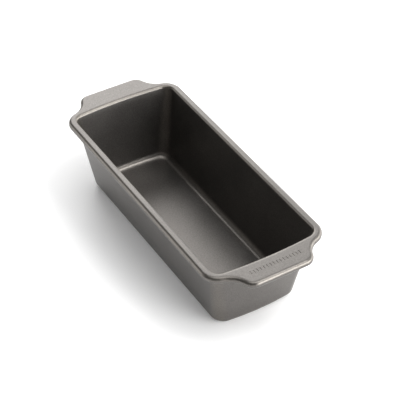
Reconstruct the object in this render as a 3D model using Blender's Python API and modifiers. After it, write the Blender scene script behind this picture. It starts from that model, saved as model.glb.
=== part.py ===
"""Long loaf pan, about 30 cm over its handles.

One sheet of steel is drawn into the whole pan: flat floor, four tapered walls, a flat rim that widens
into a handle at each end, and an edge rolled under all the way round. A steel wire lies in that roll.

Frame: metres, +Z up, +X along the pan. The origin is at the middle of the underside, on the table.
"""
from math import atan2, cos, degrees, radians, sin, sqrt, tan

import bmesh
import bpy
from mathutils import Vector

NAME = "loaf_pan"

# Overall sizes
LENGTH = 0.298            # over the two handles
SHOULDER_LENGTH = 0.261   # over the rim beside the handles
WIDTH = 0.117             # over the rolled edge of the long sides
HEIGHT = 0.074            # table to the top of the rim

# Sheet and wire
SHEET = 0.0009            # thickness of the drawn sheet
ROLL_RADIUS = 0.0034      # outside radius of the rolled edge
ROLL_SWEEP = 285.0        # degrees that the edge turns through, from the flat rim
CLEARANCE = 0.0003        # all round the wire
WIRE_RADIUS = ROLL_RADIUS - SHEET - CLEARANCE
WIRE_BUTT_GAP = 0.0020    # between the two ends of the wire

# Mouth and walls, on the inner face
MOUTH_LENGTH = 0.2554     # where the flat rim starts to turn down, on the middle line
MOUTH_WIDTH = 0.105
MOUTH_FILLET_ENDS = 0.0032    # rim into wall
MOUTH_FILLET_SIDES = 0.0021
MOUTH_FILLET = (MOUTH_FILLET_ENDS + MOUTH_FILLET_SIDES) / 2
FLOOR_FILLET = 0.0064     # wall into floor
WALL_CORNER = 0.0078      # plan radius of the four upright corners, at the mouth
BASE_CORNER = 0.0105      # and at the foot of the walls
END_CROWN = 0.0030        # how far each end wall bows outward at its middle
DRAFT_SIDES = radians(8.6)
DRAFT_ENDS = radians(7.8)

# Plan of the rolled edge, from a long side round to the end of a handle
SHOULDER_RADIUS = 0.0167
SHOULDER_END = 17.0       # degrees left of the quarter turn where the shoulder gives way to the neck
NECK_RADIUS = 0.0203      # hollow curve between the shoulder and the handle
HANDLE_RADIUS = 0.0110    # corners of the handle

# Facets
ARC_STEPS = 5             # in each arc of the rim's plan
END_STEPS = 2             # along half of a handle's straight end
FLOOR_STEPS = 5           # round the floor fillet
MOUTH_STEPS = 3           # round the mouth fillet
ROLL_STEPS = 10           # round the rolled edge

COATING = ((0.30, 0.285, 0.265), 0.42, 0.75)   # warm grey non-stick finish: colour, roughness, metallic
WIRE_STEEL = ((0.52, 0.52, 0.53), 0.38, 1.0)


def arc(centre, radius, start, end, steps):
    """Points along an arc in plan; the angles are in degrees."""
    angles = [radians(start + (end - start) * k / steps) for k in range(steps + 1)]
    return [Vector((centre.x + radius * cos(a), centre.y + radius * sin(a))) for a in angles]


def all_round(quarter):
    """Close a quarter outline, from the +Y side to the +X end, into a clockwise ring by symmetry."""
    half = quarter + [Vector((p.x, -p.y)) for p in reversed(quarter[:-1])]
    return half + [Vector((-p.x, p.y)) for p in reversed(half[1:-1])]


def rim_outline(inset):
    """Plan of the rolled edge, moved inward by inset: shoulder, hollow neck and handle corner."""
    shoulder = Vector((SHOULDER_LENGTH / 2 - SHOULDER_RADIUS, WIDTH / 2 - SHOULDER_RADIUS))
    turn = radians(SHOULDER_END)
    neck = shoulder + (SHOULDER_RADIUS + NECK_RADIUS) * Vector((cos(turn), sin(turn)))
    span = NECK_RADIUS + HANDLE_RADIUS
    handle_x = LENGTH / 2 - HANDLE_RADIUS
    handle = Vector((handle_x, neck.y - sqrt(span ** 2 - (handle_x - neck.x) ** 2)))
    meet = degrees(atan2(neck.y - handle.y, neck.x - handle.x))
    quarter = [Vector((0.0, WIDTH / 2 - inset))]
    quarter += arc(shoulder, SHOULDER_RADIUS - inset, 90.0, SHOULDER_END, ARC_STEPS)
    quarter += arc(neck, NECK_RADIUS + inset, 180.0 + SHOULDER_END, 180.0 + meet, ARC_STEPS)[1:]
    quarter += arc(handle, HANDLE_RADIUS - inset, meet, 0.0, ARC_STEPS)[1:]
    end = quarter[-1]
    quarter += [Vector((end.x, end.y * (1 - k / END_STEPS))) for k in range(1, END_STEPS + 1)]
    return all_round(quarter)


def wall_outline(half_length, half_width, corner):
    """Plan of the walls at one height: a rectangle with round corners and bowed ends."""
    flat_end = half_length - END_CROWN
    centre = Vector((flat_end - corner, half_width - corner))
    quarter = [Vector((0.0, half_width))] + arc(centre, corner, 90.0, 0.0, ARC_STEPS + 1)
    steps = 2 * ARC_STEPS + END_STEPS - 1
    quarter += [Vector((flat_end, centre.y * (1 - k / steps))) for k in range(1, steps + 1)]
    for p in quarter:
        p.x *= 1 + END_CROWN / flat_end * (1 - (p.y / half_width) ** 2)
    return all_round(quarter)


def at_height(outline, z):
    return [Vector((p.x, p.y, z)) for p in outline]


def mouth_tangent(draft, fillet):
    """How far inside the mouth's edge the drafted wall plane passes, at the height of the rim."""
    return fillet * tan((radians(90) - draft) / 2)


def floor_fillet_rings():
    """From the flat floor, round the fillet, to the foot of the walls."""
    rings = []
    for k in range(FLOOR_STEPS + 1):
        inward, lift = [], []
        for draft, fillet in ((DRAFT_ENDS, MOUTH_FILLET_ENDS), (DRAFT_SIDES, MOUTH_FILLET_SIDES)):
            turn = (radians(90) - draft) * k / FLOOR_STEPS
            centre = mouth_tangent(draft, fillet) + FLOOR_FILLET / cos(draft)
            centre += (HEIGHT - SHEET - FLOOR_FILLET) * tan(draft)
            inward.append(centre - FLOOR_FILLET * sin(turn))
            lift.append(FLOOR_FILLET * (1 - cos(turn)))
        corner = BASE_CORNER - FLOOR_FILLET * (cos(draft) - sin(turn))
        outline = wall_outline(MOUTH_LENGTH / 2 - inward[0], MOUTH_WIDTH / 2 - inward[1], corner)
        rings.append(at_height(outline, SHEET + sum(lift) / 2))
    return rings


def mouth_fillet_rings():
    """From the head of the walls, round the fillet, to the flat rim."""
    rings = []
    for k in range(MOUTH_STEPS + 1):
        inward, drop = [], []
        for draft, fillet in ((DRAFT_ENDS, MOUTH_FILLET_ENDS), (DRAFT_SIDES, MOUTH_FILLET_SIDES)):
            turn = (radians(90) - draft) * (1 - k / MOUTH_STEPS)
            inward.append(fillet * sin(turn))
            drop.append(fillet * (1 - cos(turn)))
        corner = WALL_CORNER + MOUTH_FILLET * (cos(draft) - sin(turn))
        outline = wall_outline(MOUTH_LENGTH / 2 - inward[0], MOUTH_WIDTH / 2 - inward[1], corner)
        rings.append(at_height(outline, HEIGHT - sum(drop) / 2))
    return rings


def roll_rings():
    """From the flat rim, out and under, to the free edge of the roll."""
    rings = []
    for k in range(ROLL_STEPS + 1):
        turn = radians(ROLL_SWEEP * k / ROLL_STEPS)
        outline = rim_outline(ROLL_RADIUS * (1 - sin(turn)))
        rings.append(at_height(outline, HEIGHT - ROLL_RADIUS * (1 - cos(turn))))
    return rings


def material(name, look):
    colour, roughness, metallic = look
    made = bpy.data.materials.new(name)
    made.use_nodes = True
    shader = made.node_tree.nodes["Principled BSDF"]
    shader.inputs["Base Color"].default_value = (*colour, 1.0)
    shader.inputs["Roughness"].default_value = roughness
    shader.inputs["Metallic"].default_value = metallic
    return made


def add_pan_body(collection):
    """The drawn sheet: its inner face lofted from the floor to the roll, thickened on the other side."""
    rings = floor_fillet_rings() + mouth_fillet_rings() + roll_rings()
    shape = bmesh.new()
    loops = [[shape.verts.new(p) for p in ring] for ring in rings]
    shape.faces.new(reversed(loops[0]))
    for inner, outer in zip(loops, loops[1:]):
        for k in range(len(inner)):
            shape.faces.new((inner[k - 1], inner[k], outer[k], outer[k - 1]))
    mesh = bpy.data.meshes.new("pan_body")
    shape.to_mesh(mesh)
    shape.free()
    mesh.shade_smooth()
    mesh.set_sharp_from_angle(angle=radians(40))
    mesh.materials.append(material("non_stick_coating", COATING))
    body = bpy.data.objects.new("pan_body", mesh)
    collection.objects.link(body)
    sheet = body.modifiers.new("sheet", "SOLIDIFY")
    sheet.thickness = SHEET
    sheet.offset = -1.0
    sheet.use_even_offset = True
    return body


def add_rim_wire(collection):
    """The wire along the middle of the roll, its two ends butted halfway along the +Y side."""
    around = at_height(rim_outline(ROLL_RADIUS), HEIGHT - ROLL_RADIUS)
    half_gap = Vector((WIRE_BUTT_GAP / 2, 0.0, 0.0))
    route = [around[0] + half_gap] + around[1:] + [around[0] - half_gap]
    curve = bpy.data.curves.new("rim_wire", "CURVE")
    curve.dimensions = "3D"
    curve.bevel_depth = WIRE_RADIUS
    curve.bevel_resolution = 2
    curve.use_fill_caps = True
    spline = curve.splines.new("POLY")
    spline.points.add(len(route) - 1)
    for point, place in zip(spline.points, route):
        point.co = (*place, 1.0)
    curve.materials.append(material("steel_wire", WIRE_STEEL))
    wire = bpy.data.objects.new("rim_wire", curve)
    collection.objects.link(wire)
    return wire


for old in list(bpy.data.objects):
    bpy.data.objects.remove(old, do_unlink=True)

pan = bpy.data.collections.new(NAME)
bpy.context.scene.collection.children.link(pan)
add_pan_body(pan)
add_rim_wire(pan)
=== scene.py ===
"""The looks of a long loaf pan: one drawn and coated sheet with two handles, and the wire in its rolled edge.

Metres, +Z up, +X along the pan towards one handle, the origin under the middle of the floor.
"""
from math import cos, pi, radians, sin

import bpy
from mathutils import Euler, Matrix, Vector


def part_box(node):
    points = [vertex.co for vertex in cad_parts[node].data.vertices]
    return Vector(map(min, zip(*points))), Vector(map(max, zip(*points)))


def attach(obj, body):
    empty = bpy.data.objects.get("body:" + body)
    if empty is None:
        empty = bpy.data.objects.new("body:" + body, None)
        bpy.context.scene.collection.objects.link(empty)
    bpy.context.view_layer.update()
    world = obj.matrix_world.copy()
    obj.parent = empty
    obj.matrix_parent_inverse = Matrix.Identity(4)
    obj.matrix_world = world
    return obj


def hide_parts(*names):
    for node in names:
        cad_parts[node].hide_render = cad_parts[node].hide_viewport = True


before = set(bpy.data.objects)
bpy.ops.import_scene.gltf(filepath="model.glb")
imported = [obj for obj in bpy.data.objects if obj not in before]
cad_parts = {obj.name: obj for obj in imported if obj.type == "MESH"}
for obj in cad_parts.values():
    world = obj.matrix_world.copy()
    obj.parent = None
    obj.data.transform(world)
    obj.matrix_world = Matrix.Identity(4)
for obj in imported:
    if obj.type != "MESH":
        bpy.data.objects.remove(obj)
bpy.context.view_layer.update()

# ---------------------------------------------------------------------------------------------------
# The pan's sheet. One steel blank is drawn into the floor, the four tapered walls, the flat rim and its
# two handles, then the edge is rolled under over a wire and the whole sheet gets a non-stick finish.
# Its shape follows a rule: every level of it is a ring, walked round from the middle of a long side.

low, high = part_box("pan_body")
LENGTH = high.x - low.x          # over the handles
WIDTH = high.y - low.y           # over the rolled edge
HEIGHT = high.z - low.z

SHEET = 0.0009
SHOULDER_LENGTH = 0.261          # over the rim beside the handles
ROLL_RADIUS = 0.0034
ROLL_SWEEP = radians(285)
MOUTH_LENGTH = 0.2554            # where the flat rim starts to turn down
MOUTH_WIDTH = 0.105
MOUTH_FILLET_ENDS = 0.0032       # rim into wall
MOUTH_FILLET_SIDES = 0.0021
FLOOR_FILLET = 0.0064            # wall into floor
WALL_CORNER = 0.0078             # plan radius of the upright corners, at the mouth
BASE_CORNER = 0.0105             # and at the foot of the walls
END_CROWN = 0.0030               # how far an end wall bows outward at its middle
DRAFT_SIDES = radians(8.6)
DRAFT_ENDS = radians(7.8)
SHOULDER_RADIUS = 0.0167
SHOULDER_END = radians(17)
NECK_RADIUS = 0.0203
HANDLE_RADIUS = 0.0110

MERGE = 0.00001                  # points closer than this are one
WEAR_SHEEN_TURN = 0.17                 # the part of the roll with the most wear and painted sheen, as a share of its sweep
PAINTED_SHEEN_INSIDE = 0.8              # the painted sheen on the floor's turn and the upright corners, as a share of the mouth's

SHEET_SIZES = {
    "Length": LENGTH, "Width": WIDTH, "Height": HEIGHT, "Sheet": SHEET,
    "Shoulder Length": SHOULDER_LENGTH, "Shoulder Radius": SHOULDER_RADIUS, "Shoulder End": SHOULDER_END,
    "Neck Radius": NECK_RADIUS, "Handle Radius": HANDLE_RADIUS,
    "Roll Radius": ROLL_RADIUS, "Roll Sweep": ROLL_SWEEP,
    "Mouth Length": MOUTH_LENGTH, "Mouth Width": MOUTH_WIDTH,
    "Mouth Fillet Ends": MOUTH_FILLET_ENDS, "Mouth Fillet Sides": MOUTH_FILLET_SIDES,
    "Floor Fillet": FLOOR_FILLET, "Wall Corner": WALL_CORNER, "Base Corner": BASE_CORNER,
    "End Crown": END_CROWN,
    "Draft Sides": DRAFT_SIDES, "Draft Ends": DRAFT_ENDS,
}

# Steps round a quarter of a ring, the same number in all for the rim and for the walls
RIM_STEPS = {"side": 6, "shoulder": 16, "neck": 14, "handle": 14, "end": 6}
WALL_STEPS = {"side": 6, "corner": 18, "end": 32}
QUARTER = sum(RIM_STEPS.values())
# Steps from the floor out to the free edge of the roll
PROFILE_STEPS = {"floor": 1, "floor fillet": 14, "wall": 12, "mouth fillet": 8, "rim": 10, "roll": 30}


class Net:
    """A node tree while it is written. add() makes one node and gives back what comes out of it."""

    def __init__(self, tree):
        self.tree = tree

    def add(self, kind, settings=None, inputs=None, output=0):
        node = self.tree.nodes.new(kind)
        for name, value in (settings or {}).items():
            setattr(node, name, value)
        for name, value in (inputs or {}).items():
            if isinstance(value, Signal):
                self.tree.links.new(value.socket, node.inputs[name])
            else:
                node.inputs[name].default_value = value
        return Signal(self, node.outputs[output])

    def feed(self, node, name, signal):
        """Link what comes out of one node to a named socket of another."""
        self.tree.links.new(signal.socket, node.inputs[name])


class Signal:
    """A node's output. Arithmetic on it adds Math nodes to its tree."""

    def __init__(self, net, socket):
        self.net = net
        self.socket = socket

    def maths(self, operation, *operands):
        return self.net.add("ShaderNodeMath", {"operation": operation}, dict(enumerate(operands)))

    def __add__(self, other):
        return self.maths("ADD", self, other)

    def __sub__(self, other):
        return self.maths("SUBTRACT", self, other)

    def __rsub__(self, other):
        return self.maths("SUBTRACT", other, self)

    def __mul__(self, other):
        return self.maths("MULTIPLY", self, other)

    def __truediv__(self, other):
        return self.maths("DIVIDE", self, other)

    def __rtruediv__(self, other):
        return self.maths("DIVIDE", other, self)

    def __mod__(self, other):
        return self.maths("FLOORED_MODULO", self, other)

    def __pow__(self, other):
        return self.maths("POWER", self, other)

    def __lt__(self, other):
        return self.maths("LESS_THAN", self, other)

    def __gt__(self, other):
        return self.maths("GREATER_THAN", self, other)

    def __abs__(self):
        return self.maths("ABSOLUTE", self)

    __radd__ = __add__
    __rmul__ = __mul__

    def clamped(self):
        return self.net.add("ShaderNodeClamp", None, {"Value": self})


def sine(angle):
    return angle.maths("SINE", angle) if isinstance(angle, Signal) else sin(angle)


def cosine(angle):
    return angle.maths("COSINE", angle) if isinstance(angle, Signal) else cos(angle)


def progress(count, steps):
    """How far each named stretch has been walked, 0 to 1, at a step count."""
    done, start = {}, 0
    for name, length in steps.items():
        done[name] = ((count - start) / length).clamped()
        start += length
    return done


def along_arc(part, radius, start, end):
    """The moves in X and in Y made by the part of an arc already walked."""
    angle = part * (end - start) + start
    return radius * (cosine(angle) - cosine(start)), radius * (sine(angle) - sine(start))


def wall_ring(walked, half_length, half_width, corner, crown):
    """A quarter ring of the walls: straight side, round corner, bowed end."""
    part = progress(walked, WALL_STEPS)
    flat_end = half_length - crown
    turned = part["corner"] * (pi / 2)
    x = (flat_end - corner) * part["side"] + corner * sine(turned)
    y = half_width - corner * (1 - cosine(turned)) - (half_width - corner) * part["end"]
    return x * (1 + crown / flat_end * (1 - (y / half_width) ** 2)), y


def rim_ring(walked, size, inset):
    """A quarter ring of the rim, moved inward: straight side, shoulder, hollow neck, handle corner, end."""
    part = progress(walked, RIM_STEPS)
    shoulder, neck, handle = size["Shoulder Radius"], size["Neck Radius"], size["Handle Radius"]
    leave = size["Shoulder End"]
    side = size["Shoulder Length"] / 2 - shoulder
    neck_x = side + (shoulder + neck) * cosine(leave)
    neck_y = size["Width"] / 2 - shoulder + (shoulder + neck) * sine(leave)
    back = neck_x - (size["Length"] / 2 - handle)
    rise = ((neck + handle) ** 2 - back ** 2) ** 0.5
    meet = rise.maths("ARCTAN2", rise, back)
    moves = (along_arc(part["shoulder"], shoulder - inset, pi / 2, leave),
             along_arc(part["neck"], neck + inset, leave + pi, meet + pi),
             along_arc(part["handle"], handle - inset, meet, 0.0))
    x = side * part["side"] + moves[0][0] + moves[1][0] + moves[2][0]
    y = size["Width"] / 2 - inset + moves[0][1] + moves[1][1] + moves[2][1]
    return x, y - (neck_y - rise) * part["end"]


def pan_sheet_tree():
    """Node group for the face that food touches, from the floor out to the free edge of the roll."""
    tree = bpy.data.node_groups.new("pan_sheet", "GeometryNodeTree")
    net = Net(tree)
    for name in SHEET_SIZES:
        tree.interface.new_socket(name, in_out="INPUT", socket_type="NodeSocketFloat")
    tree.interface.new_socket("Finish", in_out="INPUT", socket_type="NodeSocketMaterial")
    tree.interface.new_socket("Sheet", in_out="OUTPUT", socket_type="NodeSocketGeometry")
    entry = tree.nodes.new("NodeGroupInput")
    size = {name: Signal(net, entry.outputs[name]) for name in SHEET_SIZES}

    # A grid with one column for each step round the pan and one row for each step of its profile
    rows = sum(PROFILE_STEPS.values()) + 1
    grid = net.add("GeometryNodeMeshGrid", None,
                   {"Size X": 1.0, "Size Y": 1.0, "Vertices X": 4 * QUARTER + 1, "Vertices Y": rows})
    index = net.add("GeometryNodeInputIndex")
    column = index / rows
    around = column.maths("FLOOR", column)
    row = index % rows
    walked = QUARTER - abs(around % (2 * QUARTER) - QUARTER)
    side_x = 1 - 2 * (around > 2 * QUARTER)
    side_y = 1 - 2 * (around > QUARTER) * (around < 3 * QUARTER)

    # How far each row lies inside the mouth's edge and below it, for the ends and for the sides
    done = progress(row, PROFILE_STEPS)
    height, sheet = size["Height"], size["Sheet"]
    fillet, mouth = size["Floor Fillet"], (size["Mouth Fillet Ends"] + size["Mouth Fillet Sides"]) / 2
    support = fillet / 4 * (done["floor"] - 1)
    out, drop, corner = {}, {}, {}
    for way in ("Ends", "Sides"):
        draft = size["Draft " + way]
        upright = pi / 2 - draft
        foot, head = upright * done["floor fillet"], upright * (1 - done["mouth fillet"])
        wall = (height - sheet - (fillet + mouth) * (1 - sine(draft))) * (1 - done["wall"])
        foot_out = fillet * (sine(foot) - sine(upright))
        lean = wall * sine(draft) / cosine(draft)
        out[way] = foot_out - lean - size["Mouth Fillet " + way] * sine(head) + support
        drop[way] = fillet * (cosine(foot) - cosine(upright)) + wall + mouth * (1 - cosine(head))
        corner[way] = (size["Base Corner"] + (size["Wall Corner"] - size["Base Corner"]) * done["wall"]
                       + foot_out + mouth * (sine(upright) - sine(head)) + support)
    wall_x, wall_y = wall_ring(walked, size["Mouth Length"] / 2 + out["Ends"],
                               size["Mouth Width"] / 2 + out["Sides"], corner["Sides"], size["End Crown"])
    wall_z = height - (drop["Ends"] + drop["Sides"]) / 2

    # The flat rim runs from the mouth out to the roll, with its rows closer together near both
    roll, turn = size["Roll Radius"], size["Roll Sweep"] * done["roll"]
    rim_x, rim_y = rim_ring(walked, size, roll * (1 - sine(turn)))
    rim_z = height - roll * (1 - cosine(turn))
    share = (1 - cosine(done["rim"] * pi)) / 2
    x, y, z = (a + share * (b - a) for a, b in ((wall_x, rim_x), (wall_y, rim_y), (wall_z, rim_z)))
    point = net.add("ShaderNodeCombineXYZ", None, {"X": x * side_x, "Y": y * side_y, "Z": z})
    drawn = net.add("GeometryNodeSetPosition", None, {"Geometry": grid, "Position": point})

    # Wear where hands, loaves and cloths rub, with a painted sheen on it: the turn into the mouth and the outer
    # shoulder of the roll. The turn into the floor and the upright corners get a weaker painted sheen only, no
    # wear
    wear_and_sheen = sine(done["mouth fillet"] * pi) + (1 - abs(done["roll"] - WEAR_SHEEN_TURN) / WEAR_SHEEN_TURN).clamped()
    upright_corner = sine(progress(walked, WALL_STEPS)["corner"] * pi)
    # Painted sheen only: the turn into the floor and the upright corners get the pale tan tone where highlights
    # run along them
    inside = sine(done["floor fillet"] * pi)
    inside = inside.maths("MAXIMUM", inside, upright_corner * done["floor fillet"] * (1 - done["mouth fillet"]))
    wear_and_sheen = wear_and_sheen + PAINTED_SHEEN_INSIDE * inside
    drawn = net.add("GeometryNodeStoreNamedAttribute", {"data_type": "FLOAT", "domain": "POINT"},
                    {"Geometry": drawn, "Name": "wear_and_sheen", "Value": wear_and_sheen})

    # The innermost ring is filled with the flat floor, and the grid's two ends are joined
    level = net.add("GeometryNodeFieldOnDomain", {"domain": "POINT"}, {0: row})
    ring = net.add("GeometryNodeMeshToCurve", None, {"Mesh": drawn, "Selection": level < 0.25})
    floor = net.add("GeometryNodeFillCurve", None, {"Curve": ring})
    lift = net.add("ShaderNodeCombineXYZ", None, {"Z": sheet})
    floor = net.add("GeometryNodeTransform", None, {"Geometry": floor, "Translation": lift})
    both = net.add("GeometryNodeJoinGeometry")
    for piece in (floor, drawn):
        net.feed(both.socket.node, "Geometry", piece)
    closed = net.add("GeometryNodeMergeByDistance", None, {"Geometry": both, "Distance": MERGE})
    smooth = net.add("GeometryNodeSetShadeSmooth", None, {"Geometry": closed})
    real = net.add("GeometryNodeRealizeInstances", None, {"Geometry": smooth})
    finish = Signal(net, entry.outputs["Finish"])
    coated = net.add("GeometryNodeSetMaterial", None, {"Geometry": real, "Material": finish})
    net.feed(tree.nodes.new("NodeGroupOutput"), "Sheet", coated)
    return tree


def grown(name, tree, values, modifiers=()):
    """A plain mesh piece from a node group, its inputs set by name and any modifiers applied after it."""
    seed = bpy.data.objects.new(name + "_seed", bpy.data.meshes.new(name + "_seed"))
    bpy.context.scene.collection.objects.link(seed)
    maker = seed.modifiers.new("nodes", "NODES")
    maker.node_group = tree
    for socket in tree.interface.items_tree:
        if socket.in_out == "INPUT" and socket.name in values:
            maker[socket.identifier] = values[socket.name]
    for kind, settings in modifiers:
        extra = seed.modifiers.new(kind.lower(), kind)
        for key, value in settings.items():
            setattr(extra, key, value)
    seen = seed.evaluated_get(bpy.context.evaluated_depsgraph_get())
    mesh = bpy.data.meshes.new_from_object(seen)
    bpy.data.objects.remove(seed)
    piece = bpy.data.objects.new(name, mesh)
    bpy.context.scene.collection.objects.link(piece)
    return piece


def stamp_row_tree():
    """Node group for a punch: a row of round-ended bars with sloping sides, across the handle."""
    tree = bpy.data.node_groups.new("stamp_row", "GeometryNodeTree")
    net = Net(tree)
    for name in STAMP_SIZES:
        kind = "NodeSocketInt" if name == "Count" else "NodeSocketFloat"
        tree.interface.new_socket(name, in_out="INPUT", socket_type=kind)
    tree.interface.new_socket("Finish", in_out="INPUT", socket_type="NodeSocketMaterial")
    tree.interface.new_socket("Row", in_out="OUTPUT", socket_type="NodeSocketGeometry")
    entry = tree.nodes.new("NodeGroupInput")
    size = {name: Signal(net, entry.outputs[name]) for name in STAMP_SIZES}

    # One bar is the hull of two tapered studs, one at each of its ends, and half of it sinks into the handle
    depth, tip = size["Depth"], size["Bar Width"] / 2
    stud = net.add("GeometryNodeMeshCone", None, {"Vertices": STUD_SIDES, "Depth": 2 * depth,
                                                  "Radius Bottom": tip, "Radius Top": tip + 2 * depth})
    both = net.add("GeometryNodeJoinGeometry")
    for end in (-0.5, 0.5):
        away = net.add("ShaderNodeCombineXYZ", None, {"X": size["Bar Length"] * end})
        moved = net.add("GeometryNodeTransform", None, {"Geometry": stud, "Translation": away})
        net.feed(both.socket.node, "Geometry", moved)
    bar = net.add("GeometryNodeConvexHull", None, {"Geometry": both})

    half_row = (size["Count"] - 1) * size["Pitch"] * 0.5
    first = net.add("ShaderNodeCombineXYZ", None,
                    {"X": size["Centre"], "Y": 0.0 - half_row, "Z": size["Top"] - depth})
    step = net.add("ShaderNodeCombineXYZ", None, {"Y": size["Pitch"]})
    line = net.add("GeometryNodeMeshLine", None,
                   {"Count": size["Count"], "Start Location": first, "Offset": step})
    bars = net.add("GeometryNodeInstanceOnPoints", None, {"Points": line, "Instance": bar})
    real = net.add("GeometryNodeRealizeInstances", None, {"Geometry": bars})
    finish = Signal(net, entry.outputs["Finish"])
    coated = net.add("GeometryNodeSetMaterial", None, {"Geometry": real, "Material": finish})
    net.feed(tree.nodes.new("NodeGroupOutput"), "Row", coated)
    return tree


def finish_of(name, colour, roughness, metallic):
    """A new material, its net of nodes and its Principled shader."""
    made = bpy.data.materials.new(name)
    made.use_nodes = True
    shader = made.node_tree.nodes["Principled BSDF"]
    shader.inputs["Base Color"].default_value = (*colour, 1.0)
    shader.inputs["Roughness"].default_value = roughness
    shader.inputs["Metallic"].default_value = metallic
    return made, Net(made.node_tree), shader


def noise(net, place, scale, detail=2.0):
    """Noise about zero, from -0.5 to 0.5, with features of about 1 / scale metres."""
    return net.add("ShaderNodeTexNoise", None, {"Vector": place, "Scale": scale, "Detail": detail}) - 0.5


# The coating is sprayed and baked: a fine satin grain, faint clouds, and a tanner, smoother tone for wear and
# painted sheen
COATING = (0.128, 0.120, 0.113)
COATING_PALE = (0.155, 0.146, 0.137)
COATING_DEEP = (0.101, 0.094, 0.088)
# The tan of rubbed edges, which also paints the sheen along the edges, the turn into the floor and the upright
# corners
COATING_WEAR_SHEEN = (0.200, 0.182, 0.158)
COATING_ROUGHNESS = 0.36
COATING_METALLIC = 0.85
GRAIN_SCALE = 900.0              # about a millimetre across
FLECK_SCALE = 2600.0
CLOUD_SCALE = 26.0               # a few centimetres across
GRAIN_HEIGHT = 0.00004

coating, net, shader = finish_of("satin_non_stick", COATING, COATING_ROUGHNESS, COATING_METALLIC)
place = net.add("ShaderNodeTexCoord", output="Object")
grain, fleck = noise(net, place, GRAIN_SCALE), noise(net, place, FLECK_SCALE)
cloud = noise(net, place, CLOUD_SCALE, 3.0)
wear_and_sheen = net.add("ShaderNodeAttribute", {"attribute_name": "wear_and_sheen"}, output="Fac")
tone = (cloud * 0.9 + grain * 1.9 + fleck * 0.6 + 0.5).clamped()
colour = net.add("ShaderNodeMix", {"data_type": "RGBA"},
                 {0: tone, 6: (*COATING_DEEP, 1.0), 7: (*COATING_PALE, 1.0)}, 2)
# Paler, tanner and smoother where worn, and painted sheen along the edges, the floor's turn and the upright
# corners
wear_sheen_amount = (wear_and_sheen * (0.45 + cloud * 0.8 + grain)).clamped()
colour = net.add("ShaderNodeMix", {"data_type": "RGBA"}, {0: wear_sheen_amount, 6: colour, 7: (*COATING_WEAR_SHEEN, 1.0)}, 2)
net.feed(shader, "Base Color", colour)
net.feed(shader, "Roughness", COATING_ROUGHNESS + cloud * 0.10 + grain * 0.12 - wear_sheen_amount * 0.08)
relief = net.add("ShaderNodeBump", None,
                 {"Strength": 0.6, "Distance": GRAIN_HEIGHT, "Height": grain + fleck * 0.6}, "Normal")
net.feed(shader, "Normal", relief)

# A plain row of short bars is pressed into the flat of one handle
STUD_SIDES = 20
STAMP_SIZES = {"Count": 16, "Pitch": 0.0032, "Bar Length": 0.0026, "Bar Width": 0.0007, "Depth": 0.00035,
               "Centre": 0.1355, "Top": HEIGHT}
punch = grown("punch", stamp_row_tree(), {**STAMP_SIZES, "Finish": coating})

SHARP_TURN = radians(40)         # the bars' edges stay crisp, every turn of the sheet stays smooth
sheet_back = ("SOLIDIFY", {"thickness": SHEET, "offset": -1.0, "use_even_offset": True})
press = ("BOOLEAN", {"operation": "DIFFERENCE", "solver": "EXACT", "object": punch})
pan_sheet = grown("pan_sheet", pan_sheet_tree(), {**SHEET_SIZES, "Finish": coating}, [sheet_back, press])
bpy.data.objects.remove(punch)

# The punch leaves its own material slot behind, so the sheet's coating is put back as the only one
pan_sheet.data.materials.clear()
pan_sheet.data.materials.append(coating)
pan_sheet.data.polygons.foreach_set("material_index", [0] * len(pan_sheet.data.polygons))
pan_sheet.data.set_sharp_from_angle(angle=SHARP_TURN)
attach(pan_sheet, "root")
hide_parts("pan_body")

# ---------------------------------------------------------------------------------------------------
# The wire in the roll. Drawn steel, bent to the rim's plan, its two ends butted halfway along one side.

# Die marks run along it, which is always level, with duller patches of baked oil between them
WIRE_STEEL = (0.52, 0.52, 0.53)
WIRE_DULL = (0.33, 0.30, 0.27)
WIRE_ROUGHNESS = 0.34
DIE_MARK_SCALE = 5000.0          # a fifth of a millimetre apart
DIE_MARK_DEPTH = 0.00002
DULL_PATCH_SCALE = 140.0

steel, net, shader = finish_of("steel_wire_finish", WIRE_STEEL, WIRE_ROUGHNESS, 1.0)
place = net.add("ShaderNodeTexCoord", output="Object")
level_place = net.add("ShaderNodeVectorMath", {"operation": "MULTIPLY"}, {0: place, 1: (0.02, 0.02, 1.0)})
die_marks, patch = noise(net, level_place, DIE_MARK_SCALE), noise(net, place, DULL_PATCH_SCALE, 3.0)
dull = (patch * 2.4 + die_marks * 0.8 + 0.3).clamped()
colour = net.add("ShaderNodeMix", {"data_type": "RGBA"},
                 {0: dull, 6: (*WIRE_STEEL, 1.0), 7: (*WIRE_DULL, 1.0)}, 2)
net.feed(shader, "Base Color", colour)
net.feed(shader, "Roughness", WIRE_ROUGHNESS + die_marks * 0.2 + dull * 0.22)
relief = net.add("ShaderNodeBump", None,
                 {"Strength": 0.4, "Distance": DIE_MARK_DEPTH, "Height": die_marks}, "Normal")
net.feed(shader, "Normal", relief)

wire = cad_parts["rim_wire"]
wire.data.materials.clear()
wire.data.materials.append(steel)

# ---------------------------------------------------------------------------------------------------
# The studio: a white table that glows faintly, in a white room. Large soft lights stand low on the pan's
# right and higher behind it, with one smaller one overhead, and the room in front is dim.

TABLE_SIZE = 6.0
TABLE_LEVEL = -0.0002            # just under the pan
TABLE_GLOW = 0.13
bpy.ops.mesh.primitive_plane_add(size=TABLE_SIZE, location=(0, 0, TABLE_LEVEL))
table_top = bpy.context.object
table_top.name = "table_top"
white, net, shader = finish_of("white_table", (0.90, 0.90, 0.90), 0.9, 0.0)
shader.inputs["Emission Color"].default_value = (1.0, 1.0, 1.0, 1.0)
shader.inputs["Emission Strength"].default_value = TABLE_GLOW
table_top.data.materials.append(white)

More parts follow.
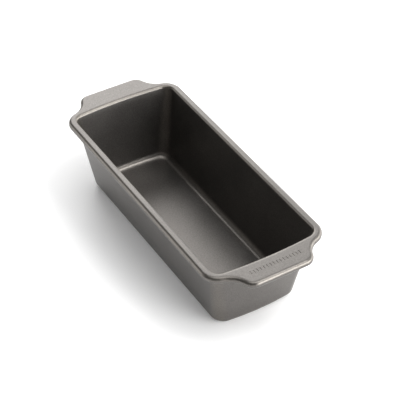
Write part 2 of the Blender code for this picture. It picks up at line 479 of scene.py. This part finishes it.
# Each soft light far off in the room: degrees round from +X, degrees up, half its spread, brightness
SOFT_LIGHTS = (
    (30, 12, 35, 7.9), (75, 10, 30, 4.8), (110, 10, 30, 2.6), (150, 12, 30, 1.9),
    (160, 34, 24, 3.8), (175, 50, 16, 0.8), (58, 61, 14, 9.0), (120, 50, 30, 0.9), (0, 85, 30, 2.4),
    (228, 12, 20, 1.9), (225, 14, 38, 0.4), (300, 30, 45, 0.1),
)
LIGHT_CORE = 0.35                # the evenly bright middle of each, as a share of its spread
DIM_ROOM = 0.02

room = bpy.data.worlds.new("room")
room.use_nodes = True
net = Net(room.node_tree)
toward = net.add("ShaderNodeTexCoord", output="Generated")
glow = DIM_ROOM
for round_from_x, up, spread, brightness in SOFT_LIGHTS:
    middle = Euler((0, -radians(up), radians(round_from_x))).to_matrix() @ Vector((1, 0, 0))
    facing = net.add("ShaderNodeVectorMath", {"operation": "DOT_PRODUCT"}, {0: toward, 1: middle}, "Value")
    soft = net.add("ShaderNodeMapRange", {"interpolation_type": "SMOOTHSTEP"}, {
        "Value": facing, "From Min": cos(radians(spread)), "From Max": cos(radians(spread * LIGHT_CORE))})
    glow = glow + soft * brightness
seen = net.add("ShaderNodeLightPath", output="Is Camera Ray")
walls = room.node_tree.nodes["Background"]
walls.inputs["Color"].default_value = (1.0, 1.0, 1.0, 1.0)
net.feed(walls, "Strength", glow * (1 - seen) + seen)
bpy.context.scene.world = room
bpy.context.scene.view_settings.view_transform = "Standard"

# ---------------------------------------------------------------------------------------------------
# The camera looks down along the pan from beyond its near handle, with a long lens.

CAMERA_AZIMUTH = radians(58.56)
CAMERA_ELEVATION = radians(40.73)
CAMERA_DISTANCE = 1.2769
CAMERA_SLIDE = 0.00917           # to the right of the pan's origin
CAMERA_RAISE = 0.03152           # above it, both across the line of sight
LENS = 125.7
SENSOR = 36.0

turn = Euler((pi / 2 - CAMERA_ELEVATION, 0, CAMERA_AZIMUTH)).to_matrix()
lens = bpy.data.cameras.new("camera")
lens.lens = LENS
lens.sensor_width = SENSOR
camera = bpy.data.objects.new("camera", lens)
camera.location = turn @ Vector((CAMERA_SLIDE, CAMERA_RAISE, CAMERA_DISTANCE))
camera.rotation_euler = turn.to_euler()
bpy.context.scene.collection.objects.link(camera)
bpy.context.scene.camera = camera
